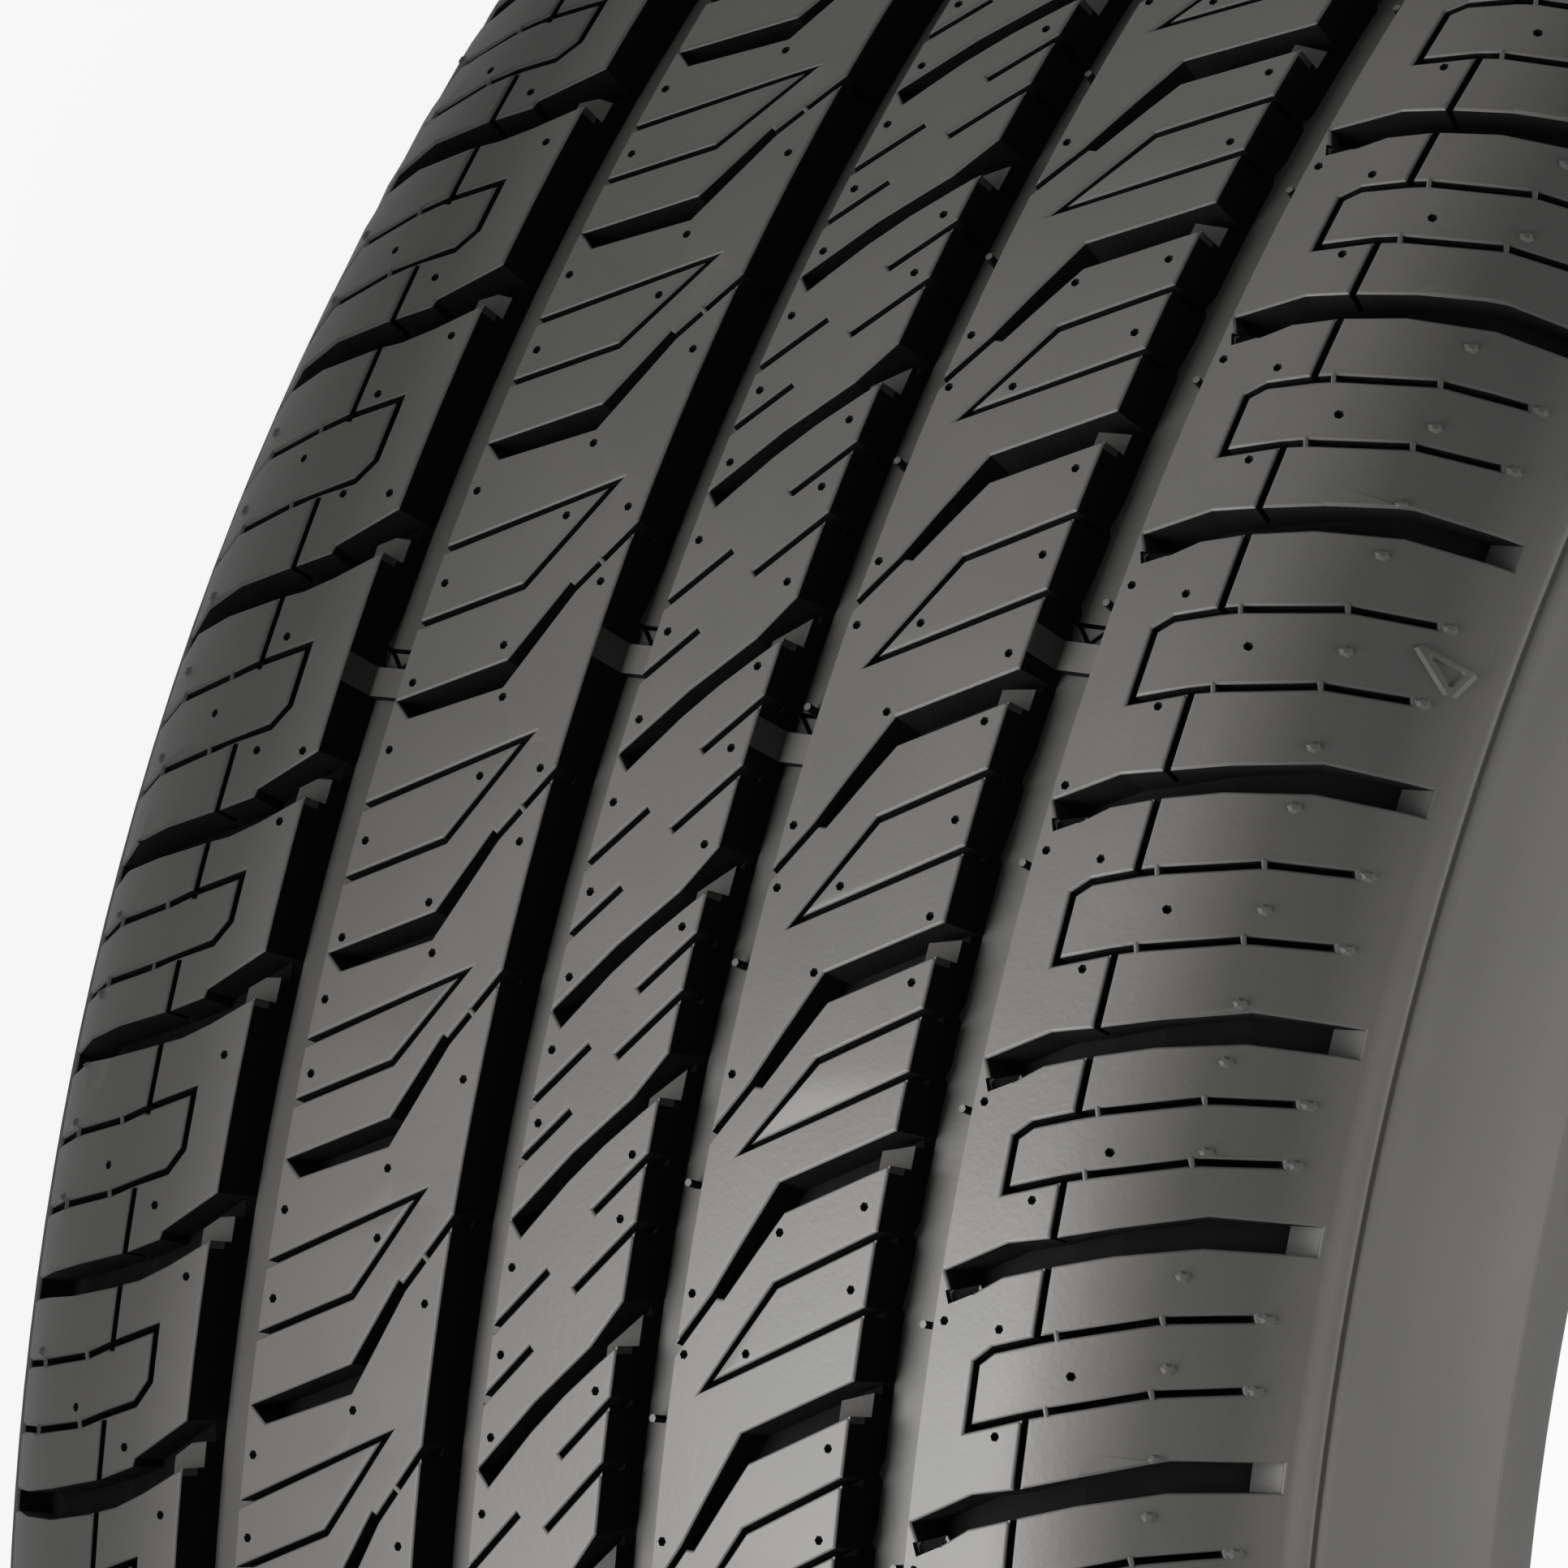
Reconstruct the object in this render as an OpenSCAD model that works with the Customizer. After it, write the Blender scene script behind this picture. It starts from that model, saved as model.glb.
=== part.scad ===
// Car tyre 245/40 R19 with an asymmetric five-rib road tread.
// The tyre lies on its sidewall: its axis is Z, and Z = 0 is the middle of its width.
// Round the tread, arc lengths run with the angle about +Z, at the crown.

/* [Tyre] */
// Outer diameter over the middle of the tread
outer_diameter = 678; // [668:1:690]
// Width over the sidewalls
section_width = 245; // [243:1:250]
// Diameter of the bead seats, a 19 inch rim
seat_diameter = 487; // [483:1:491]
// Width between the outer faces of the two beads, an 8 inch rim
bead_width = 203; // [198:1:208]
// Width of the tread between the shoulder edges
tread_width = 223; // [220:1:226]

/* [Section] */
// Radius of the crown across the tread
crown_radius = 1130; // [900:10:1500]
// Distance from the middle at which each shoulder starts to turn down
shoulder_start = 77; // [72:1:82]
// Radius of each shoulder
shoulder_radius = 32; // [30:1:36]
// Rubber and belts under the bottom of the main grooves
belt_thickness = 7; // [6:0.5:9]
// Thickness of the sidewall at its widest place
sidewall_thickness = 8; // [6:0.5:10]
// Length of the flat seat of each bead
seat_length = 13; // [10:0.5:15]
// Thickness of the bead above its seat
bead_height = 14; // [12:0.5:16]
// Height of the rim protector above the bead seat
protector_height = 26; // [24:0.5:28]
// How far the rim protector stands out of the sidewall
protector_rise = 2.5; // [1:0.5:4]
// Height of the line that ends the tread on the sidewall
edge_line_rise = 0.8; // [0.4:0.1:1.5]

/* [Main grooves] */
// Depth of the four grooves that run round the tyre
groove_depth = 8; // [6:0.5:9]
// Slope of each side wall of a main groove, sideways over its depth
groove_draft = 0.8; // [0:0.1:1.5]
// Middle of the first groove
groove_1_at = -57.1; // [-59:0.1:-55]
// Width of the first groove
groove_1_width = 11.3; // [9:0.1:13]
// Middle of the second groove
groove_2_at = -14.1; // [-16:0.1:-12]
// Width of the second groove
groove_2_width = 10; // [8:0.1:12]
// Middle of the third groove
groove_3_at = 17.9; // [16:0.1:20]
// Width of the third groove
groove_3_width = 9.8; // [8:0.1:12]
// Middle of the fourth groove
groove_4_at = 59.2; // [57:0.1:61]
// Width of the fourth groove
groove_4_width = 11.4; // [9:0.1:13]

/* [Pattern] */
// Number of pattern pitches round the tyre
pitch_count = 62; // [60:1:64]
// Angle at which the first pitch starts
pitch_start = -19.3; // [-30:0.1:0]
// Depth of the wide lateral slots
slot_depth = 6.5; // [5:0.5:7.5]
// Depth of the thin sipes
sipe_depth = 5; // [3:0.5:6.5]
// Width of the thin sipes
sipe_width = 0.8; // [0.6:0.1:1.2]
// Rubber left between a blind slot and the groove beside it
slot_land = 0.8; // [0.5:0.1:2]

/* [Hidden] */
$fn = 96;

// Lengths of the pitches, from short to long, as shares of the mean pitch
PITCH_SIZES = [0.85, 0.93, 1, 1.07, 1.15];
// Order of the five sizes, repeated round the tyre
PITCH_ORDER = [1, 2, 4, 3, 0, 2];

outer_r = outer_diameter / 2;
seat_r = seat_diameter / 2;
half_tread = tread_width / 2;
half_width = section_width / 2;
half_bead = bead_width / 2;

// Height of the tread surface above the axis at a distance z from the middle
function tread_r(z) = outer_r - z * z / (2 * crown_radius)
    - pow(max(0, abs(z) - shoulder_start), 2) / (2 * shoulder_radius);

// Heights on the sidewall: a low sidewall limits its protector and its bead
edge_r = tread_r(half_tread);
wall_height = edge_r - seat_r;
widest_r = seat_r + 0.655 * wall_height;
protector = min(protector_height, 0.4 * wall_height);
protector_r = seat_r + protector;
bead = min(bead_height, 0.2 * wall_height);

// Outer face of the sidewall, a curve through the edge line, the widest place and the protector
function wall_z(r) = half_width - (r > widest_r
    ? (half_width - half_tread - 1) * pow((r - widest_r) / (edge_r - widest_r), 2)
    : (half_width - half_bead - 7) * pow((widest_r - r) / (widest_r - protector_r), 2));

// Points of one side of the outer face, from the edge of the tread down to the toe of the bead
WALL_STEPS = 8;
WALL_TOP = 3.8;
OUTER_WALL = concat(
    [[edge_r - 1.2, half_tread + 1.5], [edge_r - 2.8, half_tread + 1.9 + edge_line_rise],
     [edge_r - 3.2, half_tread + 1.9], [edge_r - WALL_TOP, wall_z(edge_r - WALL_TOP)]],
    [for (i = [1 : WALL_STEPS])
        let (r = edge_r - WALL_TOP + i * (protector_r + 0.12 * protector - edge_r + WALL_TOP) / WALL_STEPS)
            [r, wall_z(r)]],
    [[protector_r + 0.05 * protector, wall_z(protector_r) + protector_rise],
     [protector_r - 0.05 * protector, wall_z(protector_r) + protector_rise],
     [seat_r + 0.8 * protector, half_bead + 3.5],
     [seat_r + 0.42 * protector, half_bead + 0.6],
     [seat_r + 0.31 * protector, half_bead],
     [seat_r + 0.12 * protector, half_bead],
     [seat_r + 1, half_bead - 1],
     [seat_r, half_bead - 3.2],
     [seat_r, half_bead - 3.2 - seat_length],
     [seat_r + 0.8, half_bead - 5 - seat_length]]);

// Inner face: up the bead and the sidewall to its widest place, in under the edge of the tread, then
// round the shoulder to the underside of the tread
liner_r = outer_r - groove_depth - belt_thickness;
liner_half = half_width - sidewall_thickness;
liner_edge = shoulder_start + 1;
turn_r = widest_r + 0.27 * (edge_r - widest_r);
// Where it turns in under the tread, inside the sidewall also below a wider tread
TURN_IN = 3;
turn_z = min(half_tread, liner_half - TURN_IN);
LOW_STEPS = 5;
HIGH_STEPS = 7;
INNER_WALL = concat(
    [[seat_r + bead * 0.6, half_bead - 3.5 - seat_length],
     [seat_r + bead, half_bead - 13]],
    [for (i = [1 : LOW_STEPS])
        let (a = 60 - 60 * i / LOW_STEPS)
        [widest_r - (widest_r - seat_r - bead) * sin(a),
         liner_half - (liner_half - half_bead + 7) * 2 * (1 - cos(a))]],
    [for (i = [0 : HIGH_STEPS])
        let (a = 85 * i / HIGH_STEPS)
        [turn_r + (liner_r - 1.5 - turn_r) * sin(a), liner_edge + (turn_z - liner_edge) * cos(a)]]);

// Points of the crown between two places, with the notches of the main grooves
function crown(a, b, n) = [for (i = [0 : n]) let (z = a + i * (b - a) / max(1, n)) [tread_r(z), z]];

// A main groove from its low side to its high side
function notch(at, w) =
    let (a = at - w / 2, b = at + w / 2,
         floor_a = tread_r(a) - groove_depth, floor_b = tread_r(b) - groove_depth)
    [[floor_a + 1, a + groove_draft], [floor_a, a + groove_draft + 1],
     [floor_b, b - groove_draft - 1], [floor_b + 1, b - groove_draft]];

TREAD = concat(
    crown(-half_tread, -shoulder_start, 3),
    crown(groove_1_at - groove_1_width / 2, groove_1_at - groove_1_width / 2, 0),
    notch(groove_1_at, groove_1_width),
    crown(groove_1_at + groove_1_width / 2, groove_2_at - groove_2_width / 2, 1),
    notch(groove_2_at, groove_2_width),
    crown(groove_2_at + groove_2_width / 2, groove_3_at - groove_3_width / 2, 1),
    notch(groove_3_at, groove_3_width),
    crown(groove_3_at + groove_3_width / 2, groove_4_at - groove_4_width / 2, 1),
    notch(groove_4_at, groove_4_width),
    crown(groove_4_at + groove_4_width / 2, groove_4_at + groove_4_width / 2, 0),
    crown(shoulder_start, half_tread, 3));

function flip(points) = [for (i = [len(points) - 1 : -1 : 0]) [points[i][0], -points[i][1]]];

// Section of the moulded tyre, cut along its axis
module section() {
    polygon(concat(TREAD, OUTER_WALL, INNER_WALL, flip(INNER_WALL), flip(OUTER_WALL)));
}

// Angle at which pitch i starts, and its length as an angle and as an arc at the crown
function pitch_size(i) = i < len(PITCH_ORDER) * floor(pitch_count / len(PITCH_ORDER))
    ? PITCH_SIZES[PITCH_ORDER[i % len(PITCH_ORDER)]] : 1;
function sizes_before(i) = i == 0 ? 0 : sizes_before(i - 1) + pitch_size(i - 1);
size_sum = sizes_before(pitch_count);
function pitch_angle(i) = pitch_start + 360 * sizes_before(i) / size_sum;
function pitch_arc(i) = 2 * PI * outer_r * pitch_size(i) / size_sum;

// Outline of a stroke of width w along a bent path
function unit(v) = v / norm(v);
function along(p, i) = unit(
    (i > 0 ? unit(p[i] - p[i - 1]) : [0, 0]) + (i < len(p) - 1 ? unit(p[i + 1] - p[i]) : [0, 0]));
function across(p, i) = let (t = along(p, i), d = i > 0 ? unit(p[i] - p[i - 1]) : t)
    [-t.y, t.x] / max(0.3, t * d);
function stroke(p, w) = concat(
    [for (i = [0 : len(p) - 1]) p[i] + across(p, i) * w / 2],
    [for (i = [len(p) - 1 : -1 : 0]) p[i] - across(p, i) * w / 2]);

// Prism that cuts an outline [z, arc] into the tread, with a flat bottom parallel to the crown
REACH = 30;
module cut(outline, depth) {
    arcs = [for (p = outline) p.y];
    zs = [for (p = outline) p.x];
    mid_arc = (min(arcs) + max(arcs)) / 2;
    mid_z = (min(zs) + max(zs)) / 2;
    bottom = min(tread_r(min(zs)), tread_r(max(zs))) - depth;
    rotate([0, 0, mid_arc / outer_r * 180 / PI])
        translate([bottom, 0, 0]) rotate([0, 90, 0])
            linear_extrude(REACH) polygon([for (p = outline) [-p.x, p.y - mid_arc]]);
}

// The same on a shoulder: the prism leans outwards with the surface between z0 and z1
module shoulder_cut(outline, z0, z1, depth) {
    side = z1 > 0 ? 1 : -1;
    arcs = [for (p = outline) p.y];
    mid_arc = (min(arcs) + max(arcs)) / 2;
    lean = atan2(tread_r(z0) - tread_r(z1), abs(z1 - z0));
    rotate([0, 0, mid_arc / outer_r * 180 / PI])
        translate([tread_r(z0) - depth / cos(lean), 0, z0]) rotate([0, 90 - side * lean, 0])
            linear_extrude(REACH)
                polygon([for (p = outline) [-(p.x - z0) / cos(lean), p.y - mid_arc]]);
}

// Edges of the five ribs
rib_a = groove_1_at - groove_1_width / 2;
rib_b = [groove_1_at + groove_1_width / 2, groove_2_at - groove_2_width / 2];
rib_c = [groove_2_at + groove_2_width / 2, groove_3_at - groove_3_width / 2];
rib_d = [groove_3_at + groove_3_width / 2, groove_4_at - groove_4_width / 2];
rib_e = groove_4_at + groove_4_width / 2;

// A point at a share u of the width of a rib, at an arc s
function on(rib, u, s) = [rib[0] + u * (rib[1] - rib[0]), s];

// How far a cut that opens into a main groove runs into it
OPEN = 3;
// How far the shoulder cuts stop short of the edge of the tread
SHORT = 0.8;
// Where the shoulder cuts change from the flat part to the leaning part
bend_z = 90;
// How far a leaning cut reaches back over the flat one
OVERLAP = 5;

// Left shoulder: a wide groove that opens into the first main groove
module slot_a() {
    cut([[rib_a + OPEN, -34.6], [rib_a - 9.3, -25.8], [-bend_z, -19.8], [-bend_z, -15.6],
         [rib_a - 12.2, -19.2], [rib_a + OPEN, -27.6]], slot_depth);
    shoulder_cut([[-bend_z + OVERLAP, -20.6], [-half_tread + SHORT, -17.6],
         [-half_tread + SHORT, -14.2], [-bend_z + OVERLAP, -16.4]],
         -bend_z, -half_tread, slot_depth * 0.8);
}

// Second rib: a blind slot that bends up into a thin tail
module slot_b() {
    cut([on(rib_b, 0, -3.9) + [slot_land, 0], on(rib_b, 0, -1.6) + [slot_land + 3, 0],
         on(rib_b, 0.57, -7.6), [rib_b[1] + OPEN, -36.8], [rib_b[1] + OPEN, -38.4],
         on(rib_b, 0.745, -23.9), on(rib_b, 0.55, -11.5)], slot_depth);
}

// Centre rib: a diagonal slot that opens into the third main groove
module slot_c() {
    cut([on(rib_c, 0, 0.6) + [slot_land, 0], on(rib_c, 0, 2.8) + [slot_land + 2.2, 0],
         [rib_c[1] + OPEN, -21.6], [rib_c[1] + OPEN, -29], on(rib_c, 0.79, -18.4)], slot_depth);
}

// Fourth rib: a slot from the fourth main groove that bends down into a thin tail
module slot_d() {
    cut([[rib_d[1] + OPEN, -20], on(rib_d, 0.42, -9.4), on(rib_d, 0, 15.2) + [slot_land, 0],
         on(rib_d, 0, 16.2) + [slot_land, 0], on(rib_d, 0.235, 7.3), on(rib_d, 0.475, -5.6),
         [rib_d[1] + OPEN, -15.2]], slot_depth);
}

// Right shoulder: a curved groove from a blunt end beside the fourth main groove
module slot_e() {
    cut([[rib_e + slot_land, 0], [rib_e + slot_land + 1.6, 1.9], [bend_z, -5.6],
         [bend_z, -9.6], [rib_e + 10, -5.4]], slot_depth);
    shoulder_cut([[bend_z - OVERLAP, -8], [half_tread - SHORT, -15],
         [half_tread - SHORT, -10.8], [bend_z - OVERLAP, -4.2]],
         bend_z, half_tread, slot_depth * 0.7);
}

// Shares of the pitch by which the two arms of its sipes are moved
UPPER = 0.36;
LOWER = 0.66;
// Distance from the middle at which the shoulder sipes end
sipe_end = half_tread - 5.5;

// A point of a sipe in a pitch of that size, on the upper or the lower arm
function up(p, size) = p + [0, UPPER * size];
function low(p, size) = p + [0, LOWER * size];

// Left shoulder: a sipe with a bend at its inner end
module sipe_a(size) {
    near = [rib_a - 10, -21.8];
    far = [-sipe_end, -16];
    shoulder_cut(stroke([up(near, size), low(near, size), low(far, size)], sipe_width),
        near.x, far.x, sipe_depth / 2);
}

// Second rib: a V from the first main groove
module sipe_b(size) {
    near = [rib_b[0] - OPEN, -0.2];
    cut(stroke([up(near, size), up(on(rib_b, 0.8, -14.4), size), low(on(rib_b, 0.51, -9.2), size),
        low(near, size)], sipe_width), sipe_depth);
}

// Fourth rib: a V from the fourth main groove
module sipe_d(size) {
    near = [rib_d[1] + OPEN, -17.8];
    cut(stroke([up(near, size), up(on(rib_d, 0.505, -7.3), size), low(on(rib_d, 0.2, -2.7), size),
        low(near, size)], sipe_width), sipe_depth);
}

// Right shoulder: a U that opens towards the sidewall, shallower at both ends
module sipe_e(size) {
    near = [rib_e + 8, -2.1];
    far = [sipe_end, -12.4];
    shoulder_cut(stroke([up(far, size), up(near, size), low(near, size), low(far, size)], sipe_width),
        near.x, far.x, sipe_depth / 2);
}

// The moulded tyre, one solid
module tyre() {
    color([0.2, 0.2, 0.2]) difference() {
        rotate_extrude($fn = 360) section();
        for (i = [0 : pitch_count - 1]) rotate([0, 0, pitch_angle(i)]) {
            slot_a();
            slot_b();
            slot_c();
            slot_d();
            slot_e();
            sipe_a(pitch_arc(i));
            sipe_b(pitch_arc(i));
            sipe_d(pitch_arc(i));
            sipe_e(pitch_arc(i));
        }
    }
}

tyre();
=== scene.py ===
import math

import bpy
import numpy as np
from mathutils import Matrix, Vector
from mathutils.geometry import delaunay_2d_cdt
from mathutils.kdtree import KDTree


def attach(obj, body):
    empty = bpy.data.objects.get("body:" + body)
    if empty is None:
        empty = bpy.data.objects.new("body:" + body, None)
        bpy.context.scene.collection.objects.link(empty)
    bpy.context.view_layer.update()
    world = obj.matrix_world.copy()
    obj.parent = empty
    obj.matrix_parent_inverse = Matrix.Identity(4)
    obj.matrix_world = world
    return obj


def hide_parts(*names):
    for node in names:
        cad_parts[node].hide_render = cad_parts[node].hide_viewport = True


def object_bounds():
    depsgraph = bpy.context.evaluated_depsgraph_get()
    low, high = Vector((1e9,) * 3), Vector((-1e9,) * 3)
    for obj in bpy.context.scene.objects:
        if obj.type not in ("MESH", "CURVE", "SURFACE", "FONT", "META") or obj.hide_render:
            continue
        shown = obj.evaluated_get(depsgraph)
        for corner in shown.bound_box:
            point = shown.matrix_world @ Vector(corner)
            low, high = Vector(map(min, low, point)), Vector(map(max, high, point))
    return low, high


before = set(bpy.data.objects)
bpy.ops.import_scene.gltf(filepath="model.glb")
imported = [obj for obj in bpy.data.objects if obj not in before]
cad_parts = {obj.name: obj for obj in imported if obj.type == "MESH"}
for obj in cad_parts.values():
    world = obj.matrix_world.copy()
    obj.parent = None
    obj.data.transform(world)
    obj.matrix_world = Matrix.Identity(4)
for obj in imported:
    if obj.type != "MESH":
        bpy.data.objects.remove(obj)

cad_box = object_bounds()
MM = 0.001

# Tyre, in millimetres
OUTER_R = round(cad_box[1].x / MM)
HALF_WIDTH = cad_box[1].z / MM
CROWN_RADIUS = 1130
SHOULDER_START = 77
SHOULDER_RADIUS = 32
TREAD_EDGE = 111.5
SEAT_R = 243.5
HALF_BEAD = 101.5
# Inboard of the first height the walls of cuts stand square to the axis, and over the next
# stretch they turn square to the surface
UPRIGHT_TO = 68
TURNING_OVER = 15

# Pattern
PITCH_COUNT = 62
PITCH_START = math.radians(-19.3)
PITCH_SIZES = [0.85, 0.93, 1, 1.07, 1.15]
PITCH_ORDER = [1, 2, 4, 3, 0, 2]
MEAN_SIZE = 1
GROOVES = [(-62.8, -51.5), (-19, -9), (13, 23), (53.6, 65)]
GROOVE_DEPTH = 8
GROOVE_DRAFT = 0.8
SLOT_DEPTH = 6.5
SIPE_DEPTH = 5
SIPE_WIDTH = 1.0
WEAR_DEPTH = 6.4
EDGE_ROUND = 0.4
# How much shade is painted on the walls and the bottoms of cuts, from 0 to 1: a darker colour that
# stands for the shade inside them
WALL_PAINTED_SHADE = 1.0
SLOT_PAINTED_SHADE = 0.9
GROOVE_PAINTED_SHADE = 0.15
# Faces with more painted shade than this get the near-black material of the cuts
SHADED_LOOK_FROM = 0.5

# Mesh
STEPS_PER_PITCH = 4
MERGE = 0.0005
SAME_DEPTH = 0.002
ON_BORDER = 0.001
SEAM_GAP = 0.004

# The order of sizes repeats as often as it fits, and the pitches left over have the mean size
in_order = PITCH_COUNT - PITCH_COUNT % len(PITCH_ORDER)
sizes = [PITCH_SIZES[PITCH_ORDER[i % len(PITCH_ORDER)]] if i < in_order else MEAN_SIZE
         for i in range(PITCH_COUNT)]
ROUND = 2 * math.pi * OUTER_R
lengths = [ROUND * s / sum(sizes) for s in sizes]
starts = [sum(lengths[:i]) for i in range(PITCH_COUNT)]


def crown(z):
    """Radius of the tread surface at a distance z from the middle."""
    over = np.maximum(0, np.abs(z) - SHOULDER_START)
    return OUTER_R - z * z / (2 * CROWN_RADIUS) - over * over / (2 * SHOULDER_RADIUS)


def lean(z):
    """Angle by which the tread surface leans outwards at z."""
    over = np.maximum(0, np.abs(z) - SHOULDER_START)
    return np.sign(z) * np.arctan(np.abs(z) / CROWN_RADIUS + over / SHOULDER_RADIUS)


def cut_lean(z):
    """Angle of the walls of a cut at z."""
    return lean(z) * np.clip((np.abs(z) - UPRIGHT_TO) / TURNING_OVER, 0, 1)


# Flat drawing: outlines are lists of (arc, across)
TINY = 1e-9
VANISHING = 1e-12
# Limits that keep the corners of strokes and grown outlines from running out to spikes
SHARPEST_STROKE = 0.35
SHARPEST_GROWN = 0.4


def unit(v):
    return v / max(TINY, math.hypot(*v))


def stroke(path, width, extra=0):
    """Outline of a line of that width along a path, extra longer at both ends."""
    p = [np.array(q, float) for q in path]
    p[0] = p[0] + unit(p[0] - p[1]) * extra
    p[-1] = p[-1] + unit(p[-1] - p[-2]) * extra
    left, right = [], []
    for i, q in enumerate(p):
        before = unit(q - p[i - 1]) if i else unit(p[1] - q)
        after = unit(p[i + 1] - q) if i < len(p) - 1 else before
        side = np.array([-before[1] - after[1], before[0] + after[0]])
        square = np.array([-before[1], before[0]])
        side = side / max(SHARPEST_STROKE * math.hypot(*side), float(side @ square))
        left.append(q + side * width / 2)
        right.append(q - side * width / 2)
    return left + right[::-1]


def turn_of(outline):
    """1 for an outline that runs anticlockwise, -1 for one that runs clockwise."""
    area = sum(outline[i - 1][0] * outline[i][1] - outline[i][0] * outline[i - 1][1]
               for i in range(len(outline)))
    return 1 if area > 0 else -1


def grown(outline, by):
    """Outline with every side moved out by a distance."""
    p = [np.array(q, float) for q in outline]
    turn = turn_of(outline)
    made = []
    for i, q in enumerate(p):
        before, after = unit(q - p[i - 1]), unit(p[(i + 1) % len(p)] - q)
        a = np.array([before[1], -before[0]]) * turn
        b = np.array([after[1], -after[0]]) * turn
        made.append(q + (a + b) / max(SHARPEST_GROWN, 1 + float(a @ b)) * by)
    return made


class Cut:
    """A cut in the tread, or a part of a cut that is filled up: its outline, its depth, the
    outline of its rounded edge, and how much shade is painted on its bottom, from 0 to 1."""

    def __init__(self, outline, depth, ring=None, fills=False, painted_shade=0.0):
        self.outline = np.array(outline, float)
        self.ring = None if ring is None else np.array(ring, float)
        self.depth, self.fills, self.painted_shade = depth, fills, painted_shade
        whole = self.outline if ring is None else self.ring
        self.low, self.high = whole.min(0), whole.max(0)

    def depth_at(self, points):
        if callable(self.depth):
            return self.depth(points)
        return np.full(len(points), float(self.depth))


def slot(points, depth=SLOT_DEPTH):
    """A wide cut with an outline of (across, arc) points."""
    outline = [(s, z) for z, s in points]
    # A slot's bottom carries painted shade
    return Cut(outline, depth, grown(outline, EDGE_ROUND), painted_shade=SLOT_PAINTED_SHADE)


def sipe(points):
    """A thin cut along a path of (across, arc) points."""
    path = [(s, z) for z, s in points]
    # A sipe carries full painted shade
    return Cut(stroke(path, SIPE_WIDTH), SIPE_DEPTH,
               stroke(path, SIPE_WIDTH + 2 * EDGE_ROUND, EDGE_ROUND), painted_shade=1)


# Gussets in the mouths of slots: the depth at the slot's end, and the slope, which begins at
# some distance from the groove's wall
GUSSET_DEPTH = 1.8
GUSSET_SLOPE = 0.9
GUSSET_LEAD = 2.8
GUSSET_RUN = 4


def gusset(wall, points):
    """A sloping step in the mouth of a slot, down to a groove's wall at z = wall."""
    def depth(p):
        return GUSSET_DEPTH + GUSSET_SLOPE * np.clip(p[:, 1] - wall + GUSSET_LEAD, 0, GUSSET_RUN)
    return Cut([(s, z) for z, s in points], depth, fills=True)


def curve(table):
    """Arc at z along a curve given by (z, arc) points."""
    z, s = zip(*sorted(table))
    return lambda at: float(np.interp(at, z, s))


# The course of the cuts across the left and the right shoulder
A_LINE = curve([(-115, -15.4), (-100, -16.5), (-90, -17.6), (-78.7, -20.1), (-70, -24.5),
                (-62.8, -29.1)])
E_LINE = curve([(65, 0), (73, -2.1), (82, -4.9), (90, -7.7), (99, -10.8), (106, -12.4),
                (112, -13.6)])
HALF_BRIDGE = 0.3
LONGEST_STEP = 9


def bridged(line, z_from, z_to, at, gaps):
    """A sipe along a curve moved by an arc, with thin bridges of rubber left standing across it."""
    stops = [z_from] + sorted(gaps, reverse=z_to < z_from) + [z_to]
    way = 1 if z_to > z_from else -1
    made = []
    for i in range(len(stops) - 1):
        a = stops[i] + (way * HALF_BRIDGE if i else 0)
        b = stops[i + 1] - (way * HALF_BRIDGE if i < len(stops) - 2 else 0)
        n = max(1, round(abs(b - a) / LONGEST_STEP))
        zs = [a + (b - a) * j / n for j in range(n + 1)]
        made.append([(z, line(z) + at) for z in zs])
    return made


def shoulder_floor(rise, start, run):
    """Depth of a shoulder's slot, which grows shallower towards the sidewall."""
    return lambda p: SLOT_DEPTH - rise * np.clip((np.abs(p[:, 1]) - start) / run, 0, 1)


# Each rib's cuts in a pitch of a size, as (across, arc). up and low are the arcs of its two sipes.
def rib_a(size):
    """The left shoulder."""
    bend_z, end_z, cross_z, bridges = -70.6, -109, -78.7, (-84, -97)
    up, low = 0.36 * size, 0.665 * size
    groove = slot([(-60, -34.2), (-62.8, -32.4), (-72, -26.1), (-72.3, -24.9), (-78.5, -22.4),
                   (-90, -19.9), (-100, -18.3), (-110.5, -17.2), (-110.5, -14), (-100, -14.6),
                   (-90, -15.4), (-80, -17.4), (-75, -18.9), (-70, -21.4), (-62.8, -25.7),
                   (-60, -27.4)], shoulder_floor(1.6, 88, 14))
    uppers = bridged(A_LINE, bend_z, end_z, up, bridges)
    lowers = bridged(A_LINE, -73, end_z, low, bridges)
    bend = [(bend_z, A_LINE(-71) + low - 2.4), (bend_z, A_LINE(bend_z) + up)]
    sipes = [sipe(lowers[0][::-1] + bend + uppers[0][1:])]
    sipes += [sipe(p) for p in lowers[1:] + uppers[1:]]
    sipes.append(sipe([(cross_z, -18.4), (cross_z, A_LINE(cross_z) + up)]))
    sipes.append(sipe([(cross_z, A_LINE(cross_z) + low), (cross_z, size - 22)]))
    step = gusset(GROOVES[0][0], [(-65.6, -27.2), (-64, -29.2), (-62.5, -29.6), (-62.5, -24.8),
                                  (-65.6, -23)])
    return [groove, step] + sipes


def rib_b(size):
    """The rib left of the middle."""
    up, low = 0.375 * size - 2, 0.665 * size - 2
    return [
        slot([(-51, -3.9), (-48, -1.6), (-32.8, -7.4), (-25.3, -22.9), (-27, -23.7),
              (-33.5, -11.4)]),
        sipe([(-26, -22.6), (-23, -26.9)]),
        sipe([(-22.6, -27.5), (-17.4, -35.1)]),
        sipe([(-52.3, up + 0.4), (-25.5, up - 12.4), (-35, low - 7.2), (-52.3, low + 0.4)]),
    ]


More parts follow.
